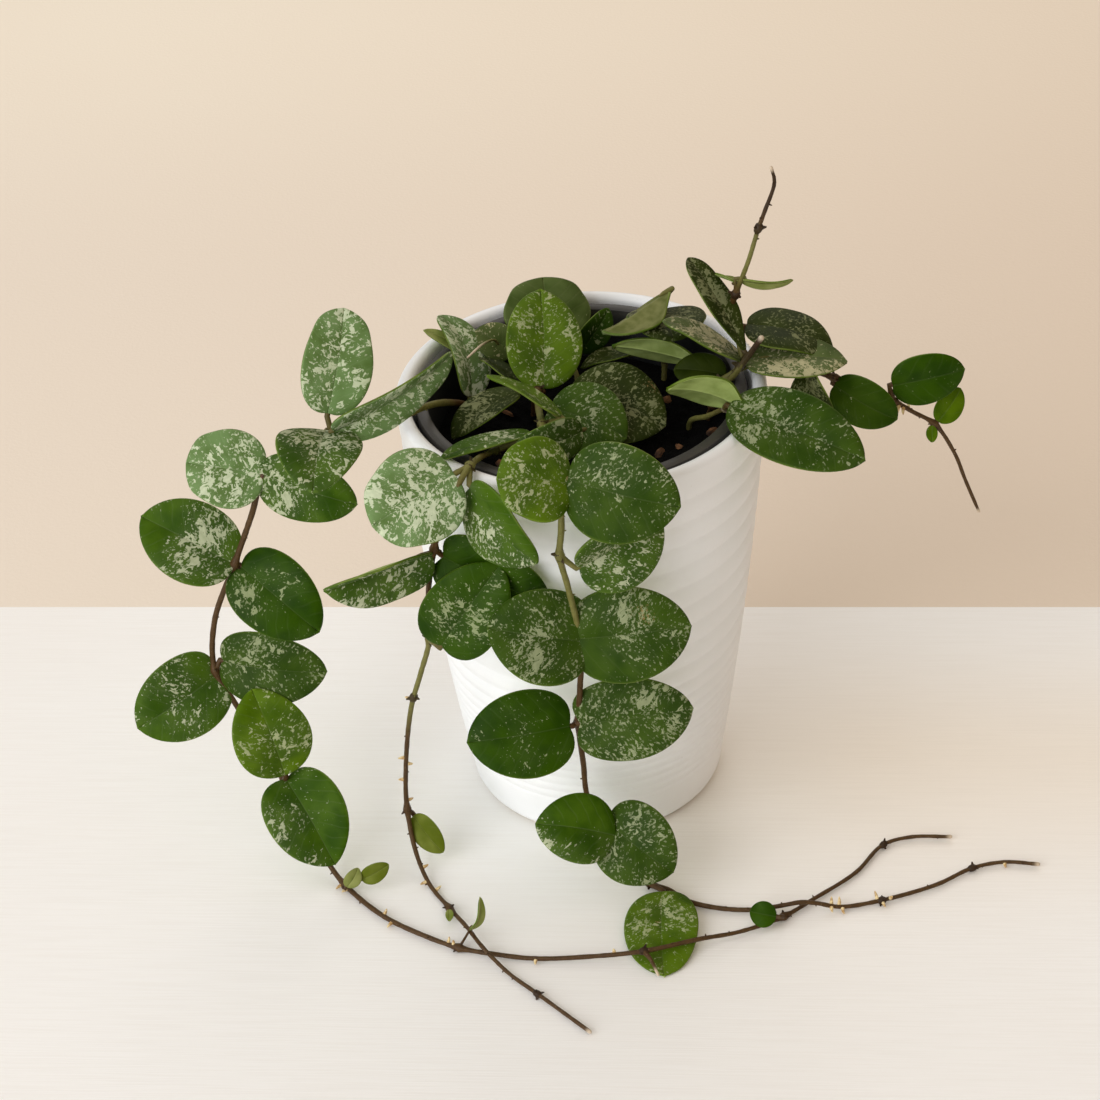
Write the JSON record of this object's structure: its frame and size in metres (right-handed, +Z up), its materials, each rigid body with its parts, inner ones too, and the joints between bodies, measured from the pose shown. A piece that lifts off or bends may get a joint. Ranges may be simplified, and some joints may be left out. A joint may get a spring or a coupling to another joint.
{
  "type": "potted hoya plant",
  "caption": "Trailing hoya with splashed oval leaves, in a dark plastic nursery pot set in a ribbed tapered white ceramic pot; vines hang over the rim and lie on the surface.",
  "frame": {"origin": "centre of the ceramic pot's flat base, on the surface that it stands on", "axes": "+Z up; +X to the right, the side that the longest vine ends on; +Y away from the side that most vines hang over"},
  "size_m": [0.298, 0.1964, 0.2282],
  "materials": {
    "glaze": "satin",
    "plastic": "matte",
    "soil": "matte",
    "foliage": "satin"
  },
  "bodies": {
    "root": {"ceramic_pot": "glaze", "nursery_pot": "plastic", "soil": "soil", "vine_left": "foliage", "vine_front_left": "foliage", "vine_front": "foliage", "shoot_right": "foliage", "shoot_front_right": "foliage", "shoot_back": "foliage", "shoot_centre": "foliage", "shoot_left": "foliage"}
  },
  "joints": []
}
